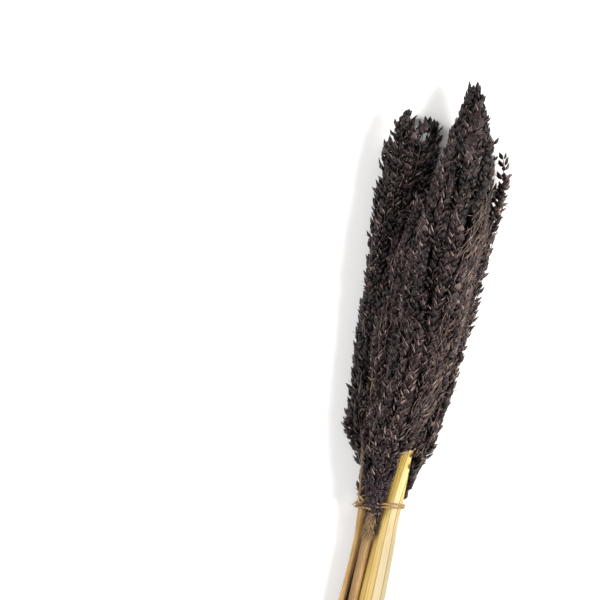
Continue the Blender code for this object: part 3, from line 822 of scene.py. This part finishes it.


# ---- the branch that hangs over the tie, and the dry bracts under it, with dark bract-shaped sheets of painted shade in the gap beside the sheath ----
hanging = {
    "seed": 71,
    "seeds": {"count": 140, "y": (-1.5, 17.0), "degrees": (40, 138)},
    "seedSize": (4.6, 1.45, 1.0),
    "seedUneven": 0.15,
    "reach": ((-5, 4.0), (3, 5.0), (17, 7.6)),  # of the seeds
    "turned": (9, 0.4),  # above this y, this share of them hangs down and the rest points up
    "hairs": {"count": 40, "y": (-6, 14), "degrees": (40, 138), "length": (2.5, 5.5), "width": (0.07, 0.14)},
    "threads": {"count": 80, "y": (-17, -6), "degrees": (35, 150), "length": (4, 9.5), "width": (0.1, 0.24)},
    "bractsAndGapShade": {"count": 26, "y": (-15, -3), "length": (5, 8), "width": (0.9, 1.5), "thickness": (0.3, 0.5)},
    "bractAndGapShadeSides": (0.25, (20, 170), (-45, 22)),  # share on top, its degrees, and those of the others, dark sheets of painted shade in the gap beside the sheath
    "ends": (-24.0, -22.5),  # how low the threads and the bracts may reach
}


def hangDown():
    head, rng = heads["front"], np.random.default_rng(hanging["seed"])

    def scatter(here):
        y = rng.uniform(*here["y"], here["count"])
        return y, np.radians(rng.uniform(*here["degrees"], len(y))), len(y)

    def outward(angle):
        return np.stack([np.cos(angle), 0 * angle, np.sin(angle)], axis=-1)

    def spikes(here, r, y, angle, heading, bend):
        n = len(y)
        size = np.column_stack([rng.uniform(*here["length"], n), rng.uniform(*here["width"], (n, 2))])
        size[:, 0] = np.minimum(size[:, 0], y - hanging["ends"][0])
        base, curl = onHead(head, y, r, angle), rng.normal(0, bend, n)
        return placeShapes(awnKind, base, heading, outward(angle), size, curl)

    y, angle, n = scatter(hanging["seeds"])
    r = np.interp(y, *zip(*hanging["reach"])) + rng.uniform(-1.3, 0.9, n)
    fan = rng.normal(0, 0.38, n) + 0.5 * np.cos(angle)
    heading = np.stack([fan, np.full(n, -1.0), rng.normal(0.12, 0.22, n)], axis=-1)
    high, share = y > hanging["turned"][0], hanging["turned"][1]
    heading[high, 1] *= np.where(rng.random(high.sum()) < share, -1, 1)
    size = np.exp(rng.normal(0, hanging["seedUneven"], (n, 1))) * hanging["seedSize"]
    tone = np.clip(rng.normal(0.36, 0.14, n), 0, 1)
    base, chance, curl = onHead(head, y, r, angle), rng.beta(2, 3, n), rng.normal(0, 0.1, n)
    seeds = seedMeshes(base, heading, outward(angle), size, chance, tone, curl)

    y, angle, n = scatter(hanging["hairs"])
    heading = [rng.normal(0, 0.8, n), rng.normal(-0.4, 0.7, n), rng.uniform(0.1, 0.5, n)]
    hairs = spikes(hanging["hairs"], 6.3 + 0 * y, y, angle, np.column_stack(heading), 0.2)

    y, angle, n = scatter(hanging["threads"])  # torn fibres of the bract
    heading = np.column_stack([rng.normal(0, 0.28, n), np.full(n, -1.0), rng.normal(0.02, 0.1, n)])
    threads = spikes(hanging["threads"], head["stalkRadius"](y) + 0.5, y, angle, heading, 0.06)

    here = hanging["bractsAndGapShade"]
    n = here["count"]
    y = rng.uniform(*here["y"], n)
    share, above, gapShadeDegrees = hanging["bractAndGapShadeSides"]
    onTop = rng.random(n) < share
    angle = np.radians(np.where(onTop, rng.uniform(*above, n), rng.uniform(*gapShadeDegrees, n)))
    heading = np.stack([rng.normal(-0.05, 0.1, n), np.full(n, -1.0), 0 * y], axis=-1)
    size = np.column_stack([rng.uniform(*here[key], n) for key in ("length", "width", "thickness")])
    size[:, 0] = np.minimum(size[:, 0], y - hanging["ends"][1])
    off = np.where(np.cos(angle) > 0.7, 4, 1)  # those in the gap beside the sheath, painted shade, stand off the stalk
    base = onHead(head, y, head["stalkRadius"](y) + off * rng.uniform(0.1, 0.5, n), angle)
    chance, tone = rng.beta(3, 2, n), rng.uniform(0.2, 0.5, n)
    bractsAndGapShade = seedMeshes(base, heading, outward(angle), size, chance, tone, 0 * y)

    parts = [(*seeds[:3], 0), (*hairs, 1), (*threads, 1), (*bractsAndGapShade[:3], 0)]
    points, faces, attributes = joinParts(parts, {0: seeds[3:], 3: bractsAndGapShade[3:]})
    meshPiece("frontHangingSeeds", points, faces, [husk, jute], ["front_hanging_branch"], attributes)


hangDown()
print("hanging branch made")

# ---- the stalks ----
stalks = {
    "sides": 36,
    "step": 1.6,
    "flutes": (13, 0.05),  # shallow lengthwise folds from drying: how many, and how deep
    "stainAndShade": {
        "front": [(-215, 0.38), (-40, 0.42), (-20, 0.55), (-8, 0.8), (60, 0.75)],
        "left": [(-215, 0.0), (0, 0.05), (40, 0.3), (60, 0.6)],
        "right": [(-215, 0.0), (60, 0.5)],
        # the back stalk, lying under the others: its dark stain near the tie is partly purple-brown stain,
        # partly painted shade
        "back": [(-130, 0.15), (-70, 0.8), (0, 1.0)],
    },
    "cut": ((0.03, 0.55), (0.5, 0.4), (0.86, 0.1)),  # rings at the cut: share of the radius, and sunk by
    "leftRib": [  # a rib of the left stalk runs up the outside of its head: y, x, z
        (-4, -12.6, 16.6), (11, -14.6, 18.6), (23, -16.4, 19.8),
        (42, -19.6, 22.0), (58, -20.4, 23.6), (76, -20.8, 25.4),
    ],
    "ribRadius": (1.25, 0.6),
    "ribStain": 0.62,
}


def growStalk(head):
    # rings of points across the stalk, shrinking to the middle at both ends; the radius carries flutes
    end = head["tip"][0] - 2
    y = np.arange(bunch["cutEnd"], end, stalks["step"])
    cut = np.array(stalks["cut"])
    y = np.concatenate([[y[0]] * len(cut), y, [end]])
    share, sunk = np.ones(len(y)), np.zeros(len(y))
    share[: len(cut)], share[-1] = cut[:, 0], 0.05
    sunk[: len(cut)] = cut[:, 1]  # the pith has shrunk back from the cut
    angle = np.arange(stalks["sides"]) * 2 * np.pi / stalks["sides"]
    yy, aa = np.meshgrid(y, angle, indexing="ij")
    count, deep = stalks["flutes"]
    flute = 1 + deep * 0.5 * np.cos(count * aa + 0.004 * yy) * np.cos(5 * aa + 1.3 + 0.002 * yy)
    points = onHead(head, yy, head["stalkRadius"](yy) * flute * share[:, None], aa)
    points[..., 1] += sunk[:, None]
    points[..., 2] = np.maximum(points[..., 2], 0)
    points = points.reshape(-1, 3)
    sides, rings = stalks["sides"], len(y)
    quads = ringFaces(rings, sides)[:, ::-1]
    ends = endFaces(rings, sides)[:, ::-1]
    stainAndShade = np.interp(yy, *zip(*stalks["stainAndShade"][head["name"]])).ravel()
    first = len(cut) * sides
    faces = [(quads[:first], 1), (quads[first:], 0), (ends[:1], 1), (ends[1:], 0)]
    if head["name"] == "left":
        line = stalks["leftRib"]
        along = np.linspace(line[0][0], line[-1][0], 60)
        path = np.stack([smoothThrough(line, 1)(along), along, smoothThrough(line, 2)(along)], axis=-1)
        rib = tubes(path[None], np.linspace(*stalks["ribRadius"], 60)[None], 10)
        faces += [(f + len(points), 0) for f in rib[1:]]
        stainAndShade = np.concatenate([stainAndShade, np.full(len(rib[0]), stalks["ribStain"])])
        points = np.concatenate([points, rib[0]])
    name, nodes = head["name"] + "Stalk", [head["name"] + "_stalk"]
    meshPiece(name, points, faces, [stalkSkin, pith], nodes, {"stainAndShade": stainAndShade})


for head in heads.values():
    growStalk(head)
print("stalks made")

# ---- the leaf sheath ----
def wrapSheath():
    # the distance from the stalk's centre is a polygon's, straight chords between the ridges, plus fine
    # ribs; the wall's outside and inside make one closed skin round each cross-section
    cells, along = sheath["cells"]
    rng = np.random.default_rng(5)
    a = np.linspace(0, 1, cells + 1)
    fray = np.repeat(rng.normal(0, sheath["fray"], (cells + 4) // 3), 3)[: cells + 1]
    top = np.interp(a, *zip(*sheath["cutTop"])) + fray
    b = 1 - (1 - np.linspace(0, 1, along + 1)) ** 1.3
    y = sheath["start"] + (top[:, None] - sheath["start"]) * b[None, :]
    degrees = sheathLeft(y) + (sheathRight(y) - sheathLeft(y)) * a[:, None]
    ridges = np.array(sheath["ridges"], float)
    i = np.clip(np.searchsorted(ridges, degrees) - 1, 0, len(ridges) - 2)
    half = np.radians(ridges[i + 1] - ridges[i]) / 2
    offset = np.radians(degrees - (ridges[i + 1] + ridges[i]) / 2)
    flat = np.cos(half) / np.cos(offset)
    flat = 1 + sheath["flatness"] * (flat - 1)
    count, high = sheath["ribs"]
    angle = np.radians(degrees)
    r = (sheathInner(y) + sheath["wall"]) * flat + high * np.cos(count * angle)
    right = heads["right"]
    thin, thicker = sheath["thinEdge"]
    wall = np.minimum(sheath["wall"], thin + (top[:, None] - y) * thicker)
    outer, inner = onHead(right, y, r, angle), onHead(right, y, r - wall, angle)
    rim = np.concatenate([outer, inner[::-1]], axis=0)
    rim[..., 2] = np.maximum(rim[..., 2], 0)
    points = np.swapaxes(rim, 0, 1).reshape(-1, 3)
    total = 2 * (cells + 1)
    k = np.arange(cells)
    bottom = np.stack([k, total - 1 - k, total - 2 - k, k + 1], axis=-1)
    faces = [(ringFaces(along + 1, total), 0), (bottom, 0), ((bottom + along * total)[:, ::-1], 0)]

    # colour values: dark lines beside the ridges and one between, a slightly darker flat left of the fold,
    # and cream to the right of it
    wide, narrow = sheath["veinLines"]
    vein = np.clip(1.4 - np.abs(degrees - ridges[i + 1] + wide) / wide, 0, 1) * 0.8
    vein = np.maximum(vein, np.clip(1.2 - np.abs(degrees - sheath["midVein"]) / narrow, 0, 1) * 0.6)
    fromFold = degrees - sheath["fold"]
    darker = np.clip((fromFold + 2) / 3, 0, 1) * np.clip((33 - fromFold) / 3, 0, 1)
    vein = np.maximum(vein, 0.2 * darker)
    cream = np.clip(0.5 - fromFold / 6, 0, 1) * (1 - 0.25 * np.clip((degrees - 50) / 40, 0, 1))
    up = np.clip((y - sheath["start"]) / 241, 0, 1)
    grown = np.stack([cream, up, vein], axis=-1)
    grown = np.swapaxes(np.concatenate([grown, grown[::-1]], axis=0), 0, 1).reshape(-1, 3)
    meshPiece("leafSheath", points, faces, [leafSkin], ["leaf_sheath"], {"leaf": grown})


wrapSheath()
print("sheath made")

# ---- the twine and its knot ----
twine = {
    "radius": 0.62,  # of the two plies together
    "ply": 0.4,
    "lay": 3.2,  # one turn of the plies, along the twine
    "turns": 2.2,
    "pitch": 1.9,
    "slant": 0.16,
    "start": 150.0,  # degrees round the neck, at the knot
    "neck": {"front": 4.4, "left": 3.4, "right": 6.1, "back": 3.4},
    "gap": 0.55,
    "closer": 0.3,  # how much closer its turns lie on the right
    "sides": 9,
    "fuzz": 150,
}
knot = {
    "size": 0.9,
    "depth": 1.5,
    "turn": (0.0, 60.0, 10.0),  # degrees about x, y and z
    "off": (1.4, 4.4, 5.6),  # from the twine's start
    "tails": 6.0,
    "ply": 0.33,
    "fuzz": 60,
}
fibre = {"length": (1.2, 4.2), "width": (0.035, 0.07), "off": 0.45, "splay": (0.35, 0.25), "curl": 0.25}


def neckOutline(angle):
    # the point of a taut loop round the neck whose outward direction is at that angle
    reach, point = [], []
    for name, head in heads.items():
        r = twine["neck"][name] + twine["gap"] + twine["radius"]
        reach.append(head["x"](0.0) * np.cos(angle) + head["z"](0.0) * np.sin(angle) + r)
        point.append(onHead(head, 0.0 * angle, r, angle))
    found = np.take_along_axis(np.array(point), np.argmax(reach, axis=0)[None, :, None], axis=0)[0]
    found[:, 1] = twine["slant"] * found[:, 0]
    return found


def evenly(route, step, *more):
    # the route, and anything that goes with it, at even distances
    length = np.concatenate([[0], np.cumsum(np.linalg.norm(np.diff(route, axis=0), axis=1))])
    at = np.linspace(0, length[-1], int(length[-1] / step) + 1)
    return [np.column_stack([np.interp(at, length, c) for c in v.T]) for v in (route, *more)] + [at]


def spinPlies(route, away, at, ply, offset):
    # two tubes that wind round the route, half a turn apart, with rings square to the route
    ahead = unitVectors(np.gradient(route, axis=0))
    away = unitVectors(away - ahead * (away * ahead).sum(-1, keepdims=True))
    side = np.cross(ahead, away)
    sides, rings = twine["sides"], len(route)
    turn = np.arange(sides) * 2 * np.pi / sides
    thick = np.full(rings, ply)
    thick[[0, -1]] *= 0.35
    points, faces = [], []
    for k in range(2):
        phase = at * 2 * np.pi / twine["lay"] + k * np.pi
        centre = route + offset * (np.cos(phase)[:, None] * away + np.sin(phase)[:, None] * side)
        ring = np.cos(turn)[None, :, None] * away[:, None] + np.sin(turn)[None, :, None] * side[:, None]
        points.append((centre[:, None] + ring * thick[:, None, None]).reshape(-1, 3))
        faces += [(f + k * rings * sides, 0) for f in (ringFaces(rings, sides), endFaces(rings, sides))]
    return np.concatenate(points), faces


def addFuzz(points, faces, route, away, count, rng):
    # loose fibres that stand off the twine, mostly along it
    i = rng.integers(1, len(route) - 1, count)
    away = unitVectors(away[i])
    ahead = unitVectors(np.gradient(route, axis=0))[i] * np.where(rng.random(count) < 0.5, 1, -1)[:, None]
    stray, out = fibre["splay"]
    heading = ahead + rng.normal(0, stray, (count, 3)) + out * away
    length, width = (rng.uniform(*fibre[key], count) for key in ("length", "width"))
    size, curl = np.column_stack([length, width, width]), rng.normal(0, fibre["curl"], count)
    hair = placeShapes(awnKind, route[i] + fibre["off"] * away, heading, away, size, curl)
    faces += [(f + len(points), 0) for f in hair[1:]]
    return np.concatenate([points, hair[0]]), faces


def tieTwine():
    rng = np.random.default_rng(91)
    turn = np.linspace(0, twine["turns"], 900)
    angle = math.radians(twine["start"]) - turn * 2 * np.pi
    route = neckOutline(angle)
    pitch = twine["pitch"] * (1 - twine["closer"] * np.clip(np.cos(angle), 0, 1) ** 2)
    route[:, 1] += (twine["turns"] / 2 - turn) * pitch
    route[:, 1] += 0.35 * np.sin(turn * 7 + 1) + 0.2 * np.sin(turn * 19)
    away = np.stack([np.cos(angle), 0 * angle, np.sin(angle)], axis=-1)
    route, away, at = evenly(route, 0.4, away)
    points, faces = spinPlies(route, away, at, twine["ply"], twine["radius"] - twine["ply"] + 0.05)
    points, faces = addFuzz(points, faces, route, away, twine["fuzz"], rng)
    meshPiece("juteTwine", points, faces, [jute], ["twine"])

    # the knot: an overhand knot's curve, (sin t + 2 sin 2t, cos t - 2 cos 2t, -depth sin 3t), left open at
    # the top, where its two ends run on as tails
    t = np.linspace(math.radians(28), math.radians(332), 140)
    flat = np.stack([np.sin(t) + 2 * np.sin(2 * t), np.cos(t) - 2 * np.cos(2 * t)], axis=1)
    route = np.column_stack([flat, -knot["depth"] * np.sin(3 * t)]) * knot["size"]
    circle = 2 * knot["size"] * unitVectors(flat)  # that the curve winds round
    away = route - np.column_stack([circle, 0 * t])
    for first, second, lean, at in ((0, 1, -0.5, 0), (-1, -2, 0.5, len(t))):
        ahead = unitVectors(route[first] - route[second]) + np.array([0, 0, lean])
        out = np.linspace(0, 1, 16)[1:, None] * knot["tails"]
        tail = route[first] + unitVectors(ahead) * out + np.array([0, 0, -0.02]) * out**2
        spread = np.repeat(away[first][None], 15, axis=0)
        if at == 0:
            route, away = np.concatenate([tail[::-1], route]), np.concatenate([spread, away])
        else:
            route, away = np.concatenate([route, tail]), np.concatenate([away, spread])
    for axis, degrees in enumerate(knot["turn"]):
        c, sn = math.cos(math.radians(degrees)), math.sin(math.radians(degrees))
        u, v = (axis + 1) % 3, (axis + 2) % 3
        spin = np.array([[c, sn], [-sn, c]])
        route[:, [u, v]], away[:, [u, v]] = route[:, [u, v]] @ spin, away[:, [u, v]] @ spin
    start = math.radians(twine["start"])
    place = neckOutline(np.array([start]))[0] + knot["off"]
    route, away, at = evenly(route + place, 0.35, away)
    points, faces = spinPlies(route, away, at, knot["ply"], 0.18)
    points, faces = addFuzz(points, faces, route, away, knot["fuzz"], rng)
    meshPiece("juteKnot", points, faces, [jute], ["twine_knot"])


tieTwine()
print("twine tied")

# ---- floor, light and camera ----
view = {
    "frameWidth": 360.0,  # what the picture takes in from side to side, at the height of the tie
    "aim": (-73.8, 110.4, 20.0),
    "lean": 12.3,  # degrees, the bunch from the upright of the picture
    "distance": 1900.0,
}
stage = {  # lengths in metres
    "floor": (3.0, "#f7f6f4"),
    "world": ("#fdfdfd", 0.52),
    "lights": {  # place, size, power, colour
        "key": ((1.5, 0.15, 1.7), 0.9, 72.0, "#fffdf9"),
        "fill": ((-1.5, 0.3, 1.7), 1.3, 36.0, "#fdfdff"),
    },
}


def makeFloor():
    size, colour = stage["floor"]
    mesh = bpy.data.meshes.new("floor")
    corners = [(-size, -size, 0), (size, -size, 0), (size, size, 0), (-size, size, 0)]
    mesh.from_pydata(corners, [], [(0, 1, 2, 3)])
    material, tree, shader = startMaterial("palePaper", {"Roughness": 0.9, "IOR": 1.45})
    shader.inputs["Base Color"].default_value = linearColour(colour)
    mesh.materials.append(material)
    floor = bpy.data.objects.new("floor", mesh)
    bpy.context.scene.collection.objects.link(floor)


def addLight(name, place, size, power, colour):
    data = bpy.data.lights.new(name, "AREA")
    data.shape, data.size, data.energy = "DISK", size, power
    data.color = linearColour(colour)[:3]
    light = bpy.data.objects.new(name, data)
    light.location = place
    light.rotation_mode = "QUATERNION"
    light.rotation_quaternion = (-Vector(place)).to_track_quat("-Z", "Y")
    bpy.context.scene.collection.objects.link(light)


def makeCamera():
    data = bpy.data.cameras.new("camera")
    data.sensor_width = 36.0
    data.lens = 36.0 * view["distance"] / view["frameWidth"]
    camera = bpy.data.objects.new("camera", data)
    aim = (np.array(view["aim"]) + np.array(bunch["place"])) * mm
    camera.location = (aim[0], aim[1], aim[2] + view["distance"] * mm)
    camera.rotation_euler = (0, 0, math.radians(view["lean"]))
    data.clip_end = 50
    bpy.context.scene.collection.objects.link(camera)
    bpy.context.scene.camera = camera


makeFloor()
for name, values in stage["lights"].items():
    addLight(name, *values)
world = bpy.data.worlds.new("softStudio")
bpy.context.scene.world = world
world.use_nodes = True
background = world.node_tree.nodes["Background"].inputs
background["Color"].default_value = linearColour(stage["world"][0])
background["Strength"].default_value = stage["world"][1]
makeCamera()
print("stage set")
